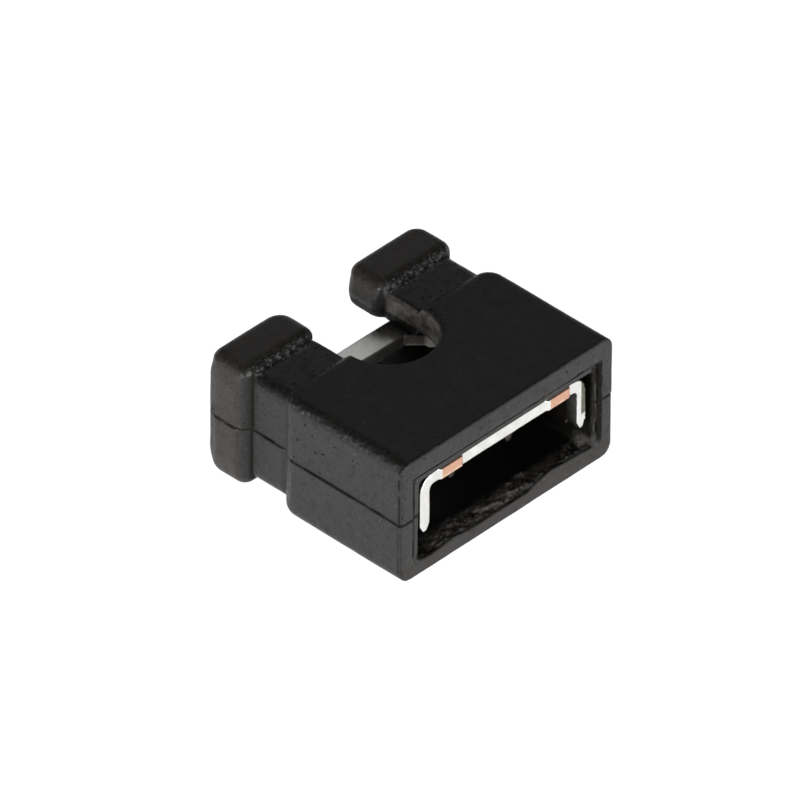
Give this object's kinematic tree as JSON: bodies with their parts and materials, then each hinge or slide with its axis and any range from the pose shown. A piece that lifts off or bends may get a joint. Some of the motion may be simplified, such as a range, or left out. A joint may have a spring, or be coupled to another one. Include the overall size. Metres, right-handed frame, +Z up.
{
  "type": "jumper shunt",
  "caption": "Low open-ended jumper shunt: a black moulded housing with grip lips over a folded spring contact that bridges neighbouring square header posts.",
  "frame": {"origin": "centre of the footprint, on the surface that the shunt lies on", "axes": "+X along the pair of posts, +Y from the mouth towards the grip lips, +Z up through the thickness"},
  "size_m": [0.005, 0.0044, 0.0025],
  "materials": {
    "housing": "matte, fine eroded grain, glass-filled black thermoplastic",
    "contact": "phosphor bronze strip under bright tin, bare bronze where the carrier strip was cut off"
  },
  "bodies": {
    "root": {"housing": "housing", "contact": "contact"}
  },
  "joints": []
}
